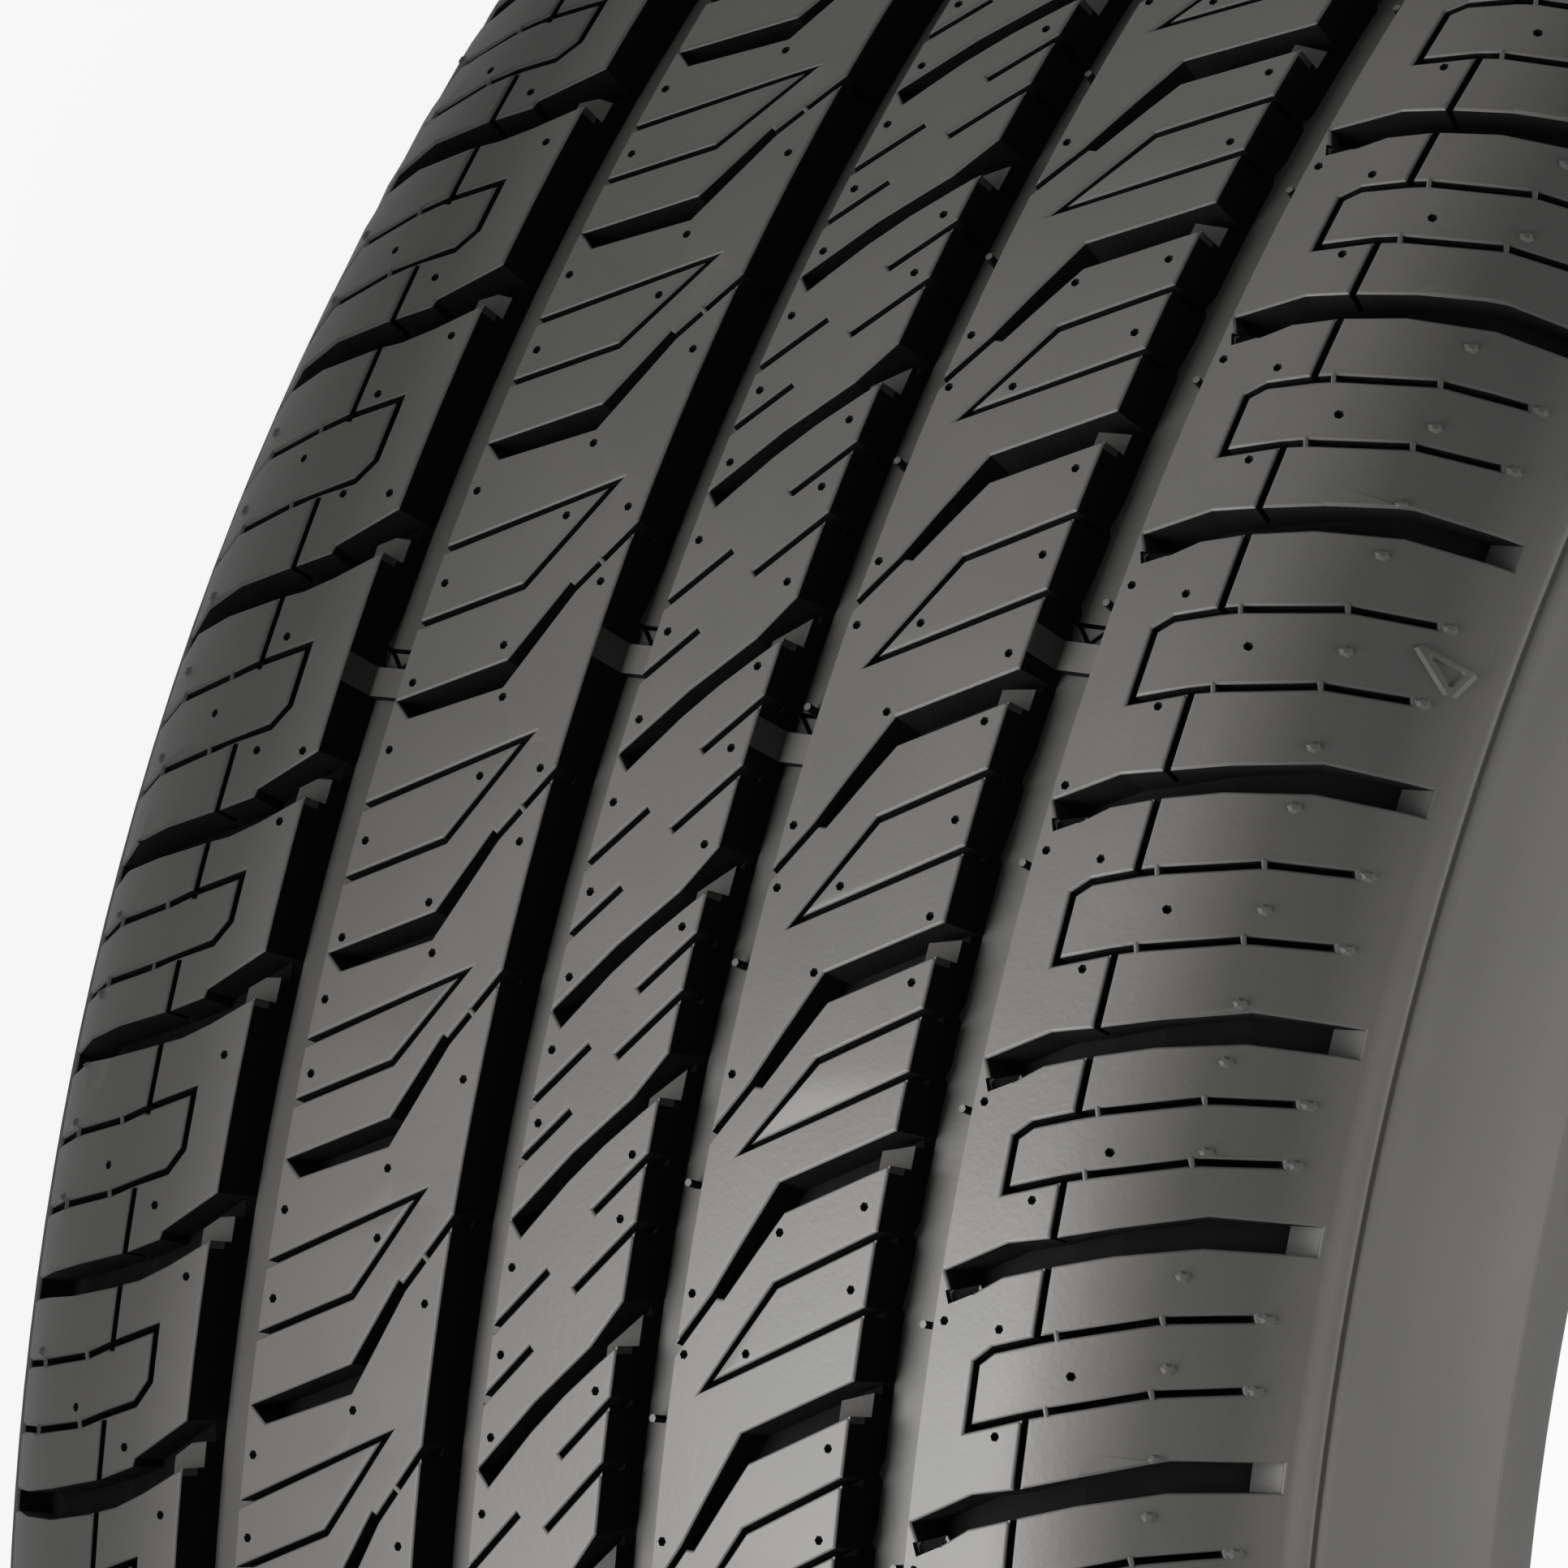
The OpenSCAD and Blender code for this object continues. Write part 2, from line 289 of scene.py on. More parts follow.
def rib_c(size):
    """The middle rib."""
    fall = 1.1
    made = [slot([(-8.7, 0.4), (-6.5, 2.6), (0, -5.7), (5, -11.2), (10, -16), (13, -18.8),
                  (15.5, -21.2), (15.5, -28.8), (13, -25), (8.5, -18.2), (0, -9.7)])]
    for z0, z1, s0 in ((-9.2, -0.8, 1.9 + 0.41 * size), (-9.2, -1.8, 1.9 + 0.689 * size),
                       (5.5, 13.6, 0.325 * size - 13.3), (4.3, 13.6, 0.61 * size - 12.2)):
        made.append(sipe([(z0, s0), (z1, s0 - fall * (z1 - z0))]))
    made.append(gusset(GROOVES[2][0], [(10.2, -18.6), (13.3, -23.6), (13.3, -18), (10.2, -15.6)]))
    return made


def rib_d(size):
    """The rib right of the middle."""
    up, low = 0.343 * size - 16, 0.645 * size - 16
    return [
        slot([(55.8, -19.6), (53.5, -18.4), (36, -9.4), (27.6, 7.3), (30, 7.3), (37.7, -5.4),
              (53.5, -13.6), (55.8, -14.8)]),
        sipe([(28.6, 6.6), (22.2, 16.2)]),
        sipe([(54.4, up - 0.2), (38.3, up + 8.7), (29, low + 13.3), (54.4, low - 0.2)]),
        gusset(GROOVES[3][0], [(50.8, -15.6), (53.9, -17.2), (53.9, -12.8), (50.8, -11.4)]),
    ]


# The bevel that closes the right shoulder's slot runs up to its lip at this height
BEVEL_END = 111.2
BEVEL_SLOPE = 1.5
LIP_DEPTH = 0.2
# The shelf in the corner of the right shoulder's block falls from this height on
SHELF_START = 66
SHELF_RUN = 4
SHELF_SLOPE = 0.5
SHELF_DEPTH = 0.5


def bevel_depth(points):
    return LIP_DEPTH + (BEVEL_END - points[:, 1]) * BEVEL_SLOPE


def shelf_depth(points):
    return SHELF_DEPTH + SHELF_SLOPE * np.clip(points[:, 1] - SHELF_START, 0, SHELF_RUN)


def rib_e(size):
    """The right shoulder, beside the sidewall that the photograph shows."""
    bend_z, end_z, cross_z, bridges = 73, 106.2, 81.8, (84.5, 97)
    up, low = 0.35 * size, 0.65 * size
    groove = slot([(65.6, -0.6), (67, 1.9), (70, 0.6), (71, 1.9), (75, -0.7), (82, -2.9),
                   (90, -5.7), (100, -8.9), (110.9, -10.8), (110.9, -15.1), (100, -13.4),
                   (90, -9.6), (82, -6.9), (75, -5.4)], shoulder_floor(2.2, 80, 28))
    uppers = bridged(E_LINE, 75.4, end_z, up, bridges)
    lowers = bridged(E_LINE, bend_z, end_z, low, bridges)
    bend = [(bend_z, E_LINE(bend_z) + up + 1.3), (bend_z, E_LINE(bend_z) + low)]
    sipes = [sipe(uppers[0][::-1] + bend + lowers[0][1:])]
    sipes += [sipe(p) for p in lowers[1:] + uppers[1:]]
    sipes.append(sipe([(cross_z, -3.6), (cross_z, E_LINE(cross_z) + up)]))
    sipes.append(sipe([(cross_z, E_LINE(cross_z) + low), (cross_z, size - 6.4)]))
    bevel = Cut([(-16.2, 108.5), (-9.6, 108.5), (-9.6, BEVEL_END), (-16.2, BEVEL_END)],
                bevel_depth, fills=True)
    shelf = Cut([(2.1, 66.4), (0.4, 70.2), (2.1, 71), (3.9, 67.2)], shelf_depth)
    return [groove, bevel, shelf] + sipes


# Marks of the mould's vents, pits and bumps: (across, share of the pitch)
PITS = [(-66, 0.41), (-75, 0.7), (-65.4, 0.125), (-74, 0.14), (-85, 0),
        (-49.2, 0.45), (-31.8, 0.155), (-21.5, 0.1), (-21.5, 0.39), (-34.8, 0.66), (-49, 0.83),
        (-32, 0.85), (-49.5, 0.09), (-7, 0.2), (10.6, 0.32), (-6.8, 0.55), (10.5, 0.64),
        (-6.8, 0.88), (10.4, 0.945), (24.7, 0.207), (51, 0.11), (24.8, 0.45), (35.2, 0.415),
        (51.2, 0.485), (34.5, 0.75), (37.7, 0.91), (50.9, 0.74), (67, 0.18), (76, 0.185),
        (87.3, 0.33), (77.7, 0.605), (67, 0.93)]
BUMPS = [(98.4, 0.245), (98.4, 0.615), (98.4, 0.845), (-98.4, 0.15), (-98.4, 0.5), (-98.4, 0.8)]
# More bumps stand past the ends of the right shoulder's sipes
END_BUMP_Z = 107.4
END_BUMP_SHARES = (0.35, 0.65)
PIT_RADIUS = 0.7
PIT_DEPTH = 1.6
BUMP_RADIUS = 0.9
BUMP_TOP = 0.45
BUMP_RISE = 0.5


def ring_of(radius, s, z, n=6):
    """Outline of a small round shape with n corners."""
    angles = [2 * math.pi * (i + 0.5) / n for i in range(n)]
    return [(s + radius * math.cos(angle), z + radius * math.sin(angle)) for angle in angles]


def drawing(size):
    """Every cut, pit and bump of one pitch."""
    cuts = rib_a(size) + rib_b(size) + rib_c(size) + rib_d(size) + rib_e(size)
    pits = [(share * size, z) for z, share in PITS]
    bumps = [(share * size, z) for z, share in BUMPS]
    bumps += [(E_LINE(END_BUMP_Z) + share * size, END_BUMP_Z) for share in END_BUMP_SHARES]
    return cuts, pits, bumps


drawings = {size: drawing(ROUND * size / sum(sizes)) for size in sorted(set(sizes))}

# Wear bars across the four grooves, with a triangle cut beside each, in six of the pitches
WEAR_PITCHES = [2, 12, 23, 33, 43, 54]
WEAR_AT = [26.2, 19.2, 29.6, 11.4]
BAR_FROM, BAR_TO = 2.6, 7
BAR_OVER = 0.3
TRIANGLE = [(-0.6, 1), (2.2, 3.6), (-0.6, 6.2)]
TRIANGLE_WIDTH = 0.7
TRIANGLE_ENDS = 0.3
TRIANGLE_DEPTH = GROOVE_DEPTH + 1


def wear_marks():
    """The bars and triangles of one of those pitches."""
    made = []
    for (low, high), at in zip(GROOVES, WEAR_AT):
        start, end, left, right = at + BAR_FROM, at + BAR_TO, low - BAR_OVER, high + BAR_OVER
        made.append(Cut([(start, left), (start, right), (end, right), (end, left)], WEAR_DEPTH,
                        fills=True))
        corners = [(at + s, low + z) for s, z in TRIANGLE]
        # The triangle cuts carry full painted shade
        made += [Cut(stroke([a, b], TRIANGLE_WIDTH, TRIANGLE_ENDS), TRIANGLE_DEPTH, painted_shade=1)
                 for a, b in zip(corners, corners[1:] + corners[:1])]
    return made


wear = wear_marks()
# A raised triangle on the right shoulder in the pitches with wear bars, as (arc, across)
MARK = [(5.4, 105.3), (6.2, 110.6), (10.4, 109.4), (5.4, 105.3)]
MARK_WIDTH = 0.7
MARK_TOP = 0.7
# Small nubs left by vents in the grooves: (across, share of the pitch)
NUBS = [(-12.6, 0.08), (16.4, 0.72), (59.4, 0.2)]
NUB_RADIUS = 0.6
NUB_DEPTH = 5.6


def groove_depth_at(low, high):
    """Depth across a main groove with sloping walls."""
    def depth(points):
        inside = np.minimum(points[:, 1] - low, high - points[:, 1])
        fall = (GROOVE_DEPTH - EDGE_ROUND) * inside / GROOVE_DRAFT
        return np.clip(EDGE_ROUND + fall, 0, GROOVE_DEPTH)
    return depth


def pit_depth(s, z):
    """Depth of a pit round a middle."""
    def depth(points):
        away = np.hypot(points[:, 0] - s, points[:, 1] - z) / PIT_RADIUS
        return PIT_DEPTH * np.clip(1 - away, 0, 1)
    return depth


# Heights of the mesh's own points at the ends of each pitch, and inside it on the shoulders
Z_STATIONS = [-109, -106, -102, -97, -91, -85, -78, -70, -35.5, 2, 38, 71, 78, 85, 91, 97, 102,
              106, 109]
SHOULDERS_FROM = 75
# How far those points and the pits keep from cuts
POINT_CLEARANCE = 1.3
PIT_CLEARANCE = 0.1
# The pitches before and after one whose cuts can reach into it
BEFORE, AFTER = 2, 4
# How far outside a pitch things are still drawn, so that its border cuts through them
CUT_MARGIN = 0.5
LINE_MARGIN = 1.0
MARK_MARGIN = 1.5
GROOVE_MARGIN = 9
# Faces that fall by more than this are walls
WALL_DROP = 1
EDGE_LEAN = math.radians(62)


def distance(points, a, b):
    """Distance of every point to every segment from a to b."""
    ab = b - a
    t = ((points[:, None] - a) * ab).sum(-1) / np.maximum(VANISHING, (ab * ab).sum(-1))
    near = a + ab * np.clip(t, 0, 1)[..., None]
    return np.hypot(*(points[:, None] - near).transpose(2, 0, 1))


def sides(outline):
    return outline, np.roll(outline, -1, axis=0)


class Pieces:
    """Vertices as (whole arc, across, depth), faces, a normal at every corner or none for a flat
    face, how much shade is painted on each face, from 0 to 1, and the vertices on the seams."""

    def __init__(self):
        self.flat, self.faces, self.normals, self.painted_shade = [], [], [], []
        self.seam = []

    def add(self, face, normal=None, painted_shade=0.0):
        self.faces.append(face)
        self.normals.append(normal)
        self.painted_shade.append(painted_shade)


def wrapped(flat):
    """Places in space of points (whole arc, across, depth)."""
    s, z, d = flat.T
    angle, tilt = PITCH_START + s / OUTER_R, cut_lean(z)
    r = crown(z) - d * np.cos(tilt)
    return np.stack([r * np.cos(angle), r * np.sin(angle), z - d * np.sin(tilt)], -1)


def turned(s, along, across, out):
    """A direction given along the tread, across it and outwards, at an arc s."""
    angle = PITCH_START + s / OUTER_R
    c, n = math.cos(angle), math.sin(angle)
    return (out * c - along * n, out * n + along * c, across)


def cell(k, store):
    """The stretch of tread between the starts of pitches k and k + 1."""
    size = lengths[k]
    points, polygons, owners = [], [], []

    def add(outline, owner):
        if turn_of(outline) < 0:
            outline = outline[::-1]
        polygons.append(list(range(len(points), len(points) + len(outline))))
        points.extend((float(s), float(z)) for s, z in outline)
        owners.append(owner)

    steps = [size * i / STEPS_PER_PITCH for i in range(STEPS_PER_PITCH + 1)]
    border = ([(s, -TREAD_EDGE) for s in steps] + [(size, z) for z in Z_STATIONS]
              + [(s, TREAD_EDGE) for s in steps[::-1]] + [(0, z) for z in Z_STATIONS[::-1]])
    add(border, "cell")
    long_steps = [-LINE_MARGIN] + steps + [size + LINE_MARGIN]
    seg_a, seg_b = [], []
    for low, high in GROOVES:
        depth = groove_depth_at(low, high)
        for inset, owner in ((-EDGE_ROUND, "ring"), (0, "groove"), (GROOVE_DRAFT, "line")):
            outline = ([(s, low + inset) for s in long_steps]
                       + [(s, high - inset) for s in long_steps[::-1]])
            # A groove's bottom carries a little painted shade
            add(outline, Cut(outline, depth, painted_shade=GROOVE_PAINTED_SHADE) if owner == "groove" else owner)
        seg_a += [(-GROOVE_MARGIN, low), (-GROOVE_MARGIN, high)]
        seg_b += [(size + GROOVE_MARGIN, low), (size + GROOVE_MARGIN, high)]
    bumps, vents, ridges = [], [], []
    for j in range(k - BEFORE, k + AFTER + 1):
        shift = starts[j % PITCH_COUNT] + ROUND * (j // PITCH_COUNT) - starts[k]
        cuts, pits, rises = drawings[sizes[j % PITCH_COUNT]]
        for c in cuts:
            if c.high[0] + shift < -CUT_MARGIN or c.low[0] + shift > size + CUT_MARGIN:
                continue
            outline = c.outline + (shift, 0)
            add(outline, Cut(outline, (lambda p, c=c, shift=shift: c.depth_at(p - (shift, 0))),
                             None, c.fills, c.painted_shade))
            if c.ring is not None:
                add(c.ring + (shift, 0), "ring")
                a, b = sides(outline)
                seg_a.extend(a)
                seg_b.extend(b)
        vents += [(s + shift, z) for s, z in pits
                  if -MARK_MARGIN < s + shift < size + MARK_MARGIN]
        if j % PITCH_COUNT in WEAR_PITCHES:
            for c in wear:
                if c.high[0] + shift > -CUT_MARGIN and c.low[0] + shift < size + CUT_MARGIN:
                    outline = c.outline + (shift, 0)
                    add(outline, Cut(outline, c.depth, None, c.fills, c.painted_shade))
            for a, b in zip(MARK, MARK[1:]):
                a, b = np.array(a) + (shift, 0), np.array(b) + (shift, 0)
                if -LINE_MARGIN < a[0] < size + LINE_MARGIN:
                    ridges.append((a, b))
                    add(stroke([a, b], MARK_WIDTH * 2), "line")
                    add(stroke([a, b], MARK_WIDTH * MARK_TOP), "line")
        for z, share in NUBS:
            s = shift + share * ROUND * sizes[j % PITCH_COUNT] / sum(sizes)
            if LINE_MARGIN < s < size - LINE_MARGIN:
                outline = ring_of(NUB_RADIUS, s, z)
                add(outline, Cut(outline, NUB_DEPTH, fills=True))
        for s, z in rises:
            if -MARK_MARGIN < s + shift < size + MARK_MARGIN:
                bumps.append((s + shift, z))
                add(ring_of(BUMP_RADIUS, s + shift, z), "line")
                add(ring_of(BUMP_RADIUS * BUMP_TOP, s + shift, z), "line")
    seg_a, seg_b = np.array(seg_a, float), np.array(seg_b, float)
    loose = np.array([(size * (i + 0.5) / STEPS_PER_PITCH, z) for i in range(STEPS_PER_PITCH)
                      for z in Z_STATIONS if abs(z) > SHOULDERS_FROM])
    clear = distance(loose, seg_a, seg_b).min(1) > POINT_CLEARANCE
    points.extend((float(s), float(z)) for s, z in loose[clear])
    room = distance(np.array(vents), seg_a, seg_b).min(1) - PIT_RADIUS - EDGE_ROUND
    for (s, z), free in zip(vents, room):
        if free > PIT_CLEARANCE:
            outline = ring_of(PIT_RADIUS, s, z)
            # Pits carry full painted shade
            add(outline, Cut(outline, pit_depth(s, z), painted_shade=1))
            if 0 < s < size:
                points.append((float(s), float(z)))

    out = delaunay_2d_cdt([Vector(p) for p in points], [], polygons, 0, MERGE, True)
    at = np.array([(v.x, v.y) for v in out[0]], float)
    top = np.clip(EDGE_ROUND - distance(at, seg_a, seg_b).min(1), 0, EDGE_ROUND)
    for s, z in bumps:
        away = np.hypot(at[:, 0] - s, at[:, 1] - z) / BUMP_RADIUS
        top -= BUMP_RISE * np.clip((1 - away) / 0.5, 0, 1)
    if ridges:
        away = distance(at, *(np.array(q) for q in zip(*ridges))).min(1) / MARK_WIDTH
        top -= BUMP_RISE * np.clip((1 - away) / 0.6, 0, 1)

    used = sorted({o for f in out[5] for o in f})
    depths = {o: owners[o].depth_at(at) for o in used if isinstance(owners[o], Cut)}
    keys, base, levels, steep = {}, len(store.flat), {}, []

    def vertex(i, d):
        key = (i, round(float(d), 3))
        if key not in keys:
            keys[key] = base + len(keys)
            levels.setdefault(i, []).append(float(d))
            store.flat.append((at[i, 0] + starts[k], at[i, 1], float(d)))
            if (at[i, 0] < ON_BORDER or at[i, 0] > size - ON_BORDER
                    or abs(at[i, 1]) > TREAD_EDGE - ON_BORDER):
                store.seam.append(keys[key])
        return keys[key]

    def upright(i, start, end):
        """Vertices over one another at i, from a depth to another and at those used in between."""
        low, high = min(start, end) + SAME_DEPTH, max(start, end) - SAME_DEPTH
        between = sorted((d for d in levels[i] if low < d < high), reverse=start > end)
        ids = [vertex(i, start)] + [vertex(i, d) for d in between]
        return ids + [vertex(i, end)] if high > low else ids

    whole_s = at[:, 0] + starts[k]
    tilts = lean(at[:, 1])
    open_edges = {}
    for face, inside in zip(out[2], out[5]):
        kinds = [owners[o] for o in inside]
        if "cell" not in kinds:
            continue
        a, b, c = face
        ab, ac = at[b] - at[a], at[c] - at[a]
        if ab[0] * ac[1] - ac[0] * ab[1] < 0:
            face = [a, c, b]
            ab, ac = ac, ab
        inner = [o for o in inside if o in depths]
        cuts = [o for o in inner if not owners[o].fills]
        painted_shade = 0.0
        if cuts:
            fills = [o for o in inner if owners[o].fills]
            d = [min([max(depths[o][i] for o in cuts)] + [depths[o][i] for o in fills])
                 for i in face]
            if not fills:
                painted_shade = owners[max(cuts, key=lambda o: sum(depths[o][i] for i in face))].painted_shade
        else:
            d = [top[i] for i in face]
        ids = [vertex(i, x) for i, x in zip(face, d)]
        spread = max(d) - min(d)
        corner = []
        if spread < SAME_DEPTH:
            corner = [turned(whole_s[i], 0, math.sin(tilts[i]), math.cos(tilts[i])) for i in face]
        elif cuts or min(d) < -0.01:
            corner = None
        else:
            m = np.array([ab, ac])
            g = (0, 0)
            if abs(np.linalg.det(m)) > TINY:
                g = unit(np.linalg.solve(m, [d[1] - d[0], d[2] - d[0]]))
            for i, x in zip(face, d):
                dip = EDGE_LEAN * x / EDGE_ROUND
                flat, up = math.sin(dip), math.cos(dip)
                sin, cos = math.sin(tilts[i]), math.cos(tilts[i])
                corner.append(turned(whole_s[i], g[0] * flat, sin * up + g[1] * flat * cos,
                                     cos * up - g[1] * flat * sin))
        # Walls of cuts carry full painted shade, and other faces carry their cut's painted shade
        wall = spread > WALL_DROP and cuts and not fills
        store.add(ids, corner, WALL_PAINTED_SHADE if wall else painted_shade)
        for (i, di), (j, dj) in zip(zip(face, d), zip(face[1:] + face[:1], d[1:] + d[:1])):
            other = open_edges.pop((j, i), None)
            if other is None:
                open_edges[(i, j)] = (di, dj)
                continue
            ej, ei = other
            if abs(ei - di) > SAME_DEPTH or abs(ej - dj) > SAME_DEPTH:
                steep.append((i, j, di, dj, ei, ej))
    # The upright walls between levels carry full painted shade too
    for i, j, di, dj, ei, ej in steep:
        ring = upright(i, di, ei) + upright(j, ej, dj)
        store.add([v for n, v in enumerate(ring) if v != ring[n - 1]], None, WALL_PAINTED_SHADE)


def smooth_line(points, per_span):
    """A smooth curve through points, Catmull-Rom."""
    p = [2 * np.array(points[0]) - points[1]] + [np.array(q, float) for q in points]
    p.append(2 * p[-1] - p[-2])
    made = []
    for i in range(1, len(p) - 2):
        for j in range(per_span):
            t = j / per_span
            made.append(0.5 * (2 * p[i] + (p[i + 1] - p[i - 1]) * t
                               + (2 * p[i - 1] - 5 * p[i] + 4 * p[i + 1] - p[i + 2]) * t ** 2
                               + (3 * p[i] - p[i - 1] - 3 * p[i + 1] + p[i + 2]) * t ** 3))
    return [tuple(q) for q in made + [p[-2]]]


EDGE_R = float(crown(TREAD_EDGE))
WIDEST_R = SEAT_R + 0.49 * (OUTER_R - SEAT_R)
LINER_R = OUTER_R - 15


def moved_by(radius, across, points):
    return [(radius + r, across + z) for r, z in points]


# One side's face from the edge of the tread to the middle of the liner, as (radius, across):
# the ridge at the edge of the tread, the sidewall, the protector's edge, the foot of the
# sidewall, the bead with its seat, and the inside
side = moved_by(EDGE_R, TREAD_EDGE, [
    (0, 0), (-0.6, 0.5), (-1.2, 1.5), (-2.2, 2.4), (-2.9, 2.7), (-3.2, 2.3), (-3.6, 2.4),
    (-3.8, 3.2), (-4.3, 3.9), (-5.2, 4.3)])
side += smooth_line([(EDGE_R - 6.5, 116.5), (302, 119.6), (WIDEST_R, HALF_WIDTH), (280, 119.6),
                     (273.5, 115)], 4)
side += [(272, 113.6), (271, 113), (269.8, 112.9), (268.8, 112.2), (268.2, 110.8)]
side += smooth_line([(267.4, 108.5), (262, 104), (254.5, 102.1), (SEAT_R + 8, HALF_BEAD),
                     (SEAT_R + 3.2, HALF_BEAD)], 2)
side += moved_by(SEAT_R, HALF_BEAD, [
    (1.2, -0.7), (0.3, -1.9), (0, -3.4), (0, -16.2), (0.3, -17.2), (1.2, -17.9), (3, -17.6)])
side += smooth_line([(SEAT_R + 9, 85), (SEAT_R + 15, 89.5), (262, 97), (273, 107),
                     (WIDEST_R, 114), (300, 110.5), (309.5, 103), (316, 92), (320.5, 78),
                     (LINER_R - 0.7, 45), (LINER_R, 0)], 2)

ARCS = [starts[k] + lengths[k] * i / STEPS_PER_PITCH
        for k in range(PITCH_COUNT) for i in range(STEPS_PER_PITCH)]
UNDER_Z = [-TREAD_EDGE, -104, -95, -86, -78, -62, -31, 0, 31, 62, 78, 86, 95, 104, TREAD_EDGE]


def under_depth(z):
    """Depth at which the tread rests on the casing, below every cut."""
    return float(np.interp(abs(z), [66, 78, 104, TREAD_EDGE], [9.5, 7.6, 7.6, 5.6]))


def revolve(store, line, base, smooth):
    """Faces between copies of a line of points, one copy at every arc, from vertex base on."""
    count, turns = len(line), len(ARCS)
    tangent = np.gradient(line, axis=0)
    tangent /= np.linalg.norm(tangent, axis=1)[:, None]
    for i in range(turns):
        j = (i + 1) % turns
        for n in range(count - 1):
            corners = ((i, n), (j, n), (j, n + 1), (i, n + 1))
            normals = [turned(ARCS[q], 0, -tangent[t][0], tangent[t][1]) for q, t in corners]
            store.add([base + q * count + t for q, t in corners], normals if smooth else None)


def spun(line):
    """Places of copies of a line of (radius, across) points, one copy at every arc."""
    made = []
    for s in ARCS:
        angle = PITCH_START + s / OUTER_R
        made += [(r * math.cos(angle), r * math.sin(angle), z) for r, z in line]
    return np.array(made)


def tread():
    """The patterned band, closed underneath, and the line of its underside."""
    store = Pieces()
    for k in range(PITCH_COUNT):
        cell(k, store)
    places = wrapped(np.array(store.flat))
    z, deep = np.array([(z, under_depth(z)) for z in UNDER_Z]).T
    tilt = cut_lean(z)
    bottom = np.stack([crown(z) - deep * np.cos(tilt), z - deep * np.sin(tilt)], -1)
    line = [(EDGE_R, TREAD_EDGE)] + [tuple(p) for p in bottom[::-1]] + [(EDGE_R, -TREAD_EDGE)]
    revolve(store, np.array(line), len(places), False)
    for i in range(len(ARCS)):
        store.seam += [len(places) + i * len(line), len(places) + (i + 1) * len(line) - 1]
    return solid("tyre_tread", np.concatenate([places, spun(line)]), store), bottom


def casing(bottom):
    """Sidewalls, beads and liner: a closed profile turned round the axis."""
    store = Pieces()
    outer = side + [(r, -z) for r, z in side[-2::-1]]
    revolve(store, np.array(outer), 0, True)
    count = len(ARCS) * len(outer)
    line = [(EDGE_R, -TREAD_EDGE)] + [tuple(p) for p in bottom] + [(EDGE_R, TREAD_EDGE)]
    revolve(store, np.array(line), count, False)
    for i in range(len(ARCS)):
        store.seam += [i * len(outer), (i + 1) * len(outer) - 1,
                       count + i * len(line), count + (i + 1) * len(line) - 1]
    return solid("tyre_casing", np.concatenate([spun(outer), spun(line)]), store)


def solid(name, places, store):
    """Object with the points on its seams joined and its own corner normals."""
    tree = KDTree(len(store.seam))
    for i in store.seam:
        tree.insert(places[i], i)
    tree.balance()
    same = np.arange(len(places))
    for i in store.seam:
        same[i] = min(hit[1] for hit in tree.find_range(places[i], SEAM_GAP))
    same = same[same]

    faces, normals, painted_shades = [], [], []
    for ids, corner, painted_shade in zip(store.faces, store.normals, store.painted_shade):
        ids = [int(same[i]) for i in ids]
        keep = [n for n in range(len(ids)) if ids[n] != ids[n - 1]]
        if len(keep) < 3:
            continue
        ids = [ids[n] for n in keep]
        if corner is None:
            p = places[ids]
            n = np.cross(p, np.roll(p, -1, axis=0)).sum(0)
            corner = [tuple(n / max(VANISHING, np.linalg.norm(n)))] * len(ids)
        else:
            corner = [corner[n] for n in keep]
        faces.append(ids)
        normals += corner
        painted_shades.append(painted_shade)
    used = np.unique(np.concatenate([np.array(f) for f in faces]))
    renumber = np.zeros(len(places), int)
    renumber[used] = np.arange(len(used))
    mesh = bpy.data.meshes.new(name)
    mesh.from_pydata((places[used] * MM).tolist(), [],
                     [[int(renumber[i]) for i in f] for f in faces])
    mesh.polygons.foreach_set("use_smooth", [True] * len(mesh.polygons))
    mesh.normals_split_custom_set(normals)
    # Painted shade of every face, which darkens its colour and picks the cut material
    mesh.attributes.new("painted_shade", "FLOAT", "FACE").data.foreach_set("value", painted_shades)
    mesh.polygons.foreach_set("material_index", [int(painted_shade > SHADED_LOOK_FROM) for painted_shade in painted_shades])
    made = bpy.data.objects.new(name, mesh)
    bpy.context.scene.collection.objects.link(made)
    return made


tread_band, tread_bottom = tread()
carcass = casing(tread_bottom)


# Rubber: the tones that its patches change between, the near-black tones of the cuts, and the
# colour and roughness of painted shade in the recesses
TONES = ((0.089, 0.087, 0.084), (0.113, 0.110, 0.106))
CUT_PAINTED_SHADE_TONES = ((0.010, 0.010, 0.010), (0.016, 0.016, 0.015))
PAINTED_SHADE_COLOUR = (0.006, 0.006, 0.006)
PAINTED_SHADE_ROUGHNESS = 0.9
GRAIN_SCALE = 900
PATCH_SCALE = 22
# How far the tone darkens at a height in millimetres: painted shade on the shoulders and at the
# ridges of the tread's edges, standing for light that falls off there
TREAD_SHADE_BAND = [(-108, 0.38), (-72, 0.3), (-62, 0), (86, 0), (97, 0.55), (106, 0.6), (111, 0.35)]
SIDE_SHADE_BAND = [(-114, 0.3), (-111, 0), (0, 0), (111, 0.25), (115, 0)]
BAND_REACH = 125


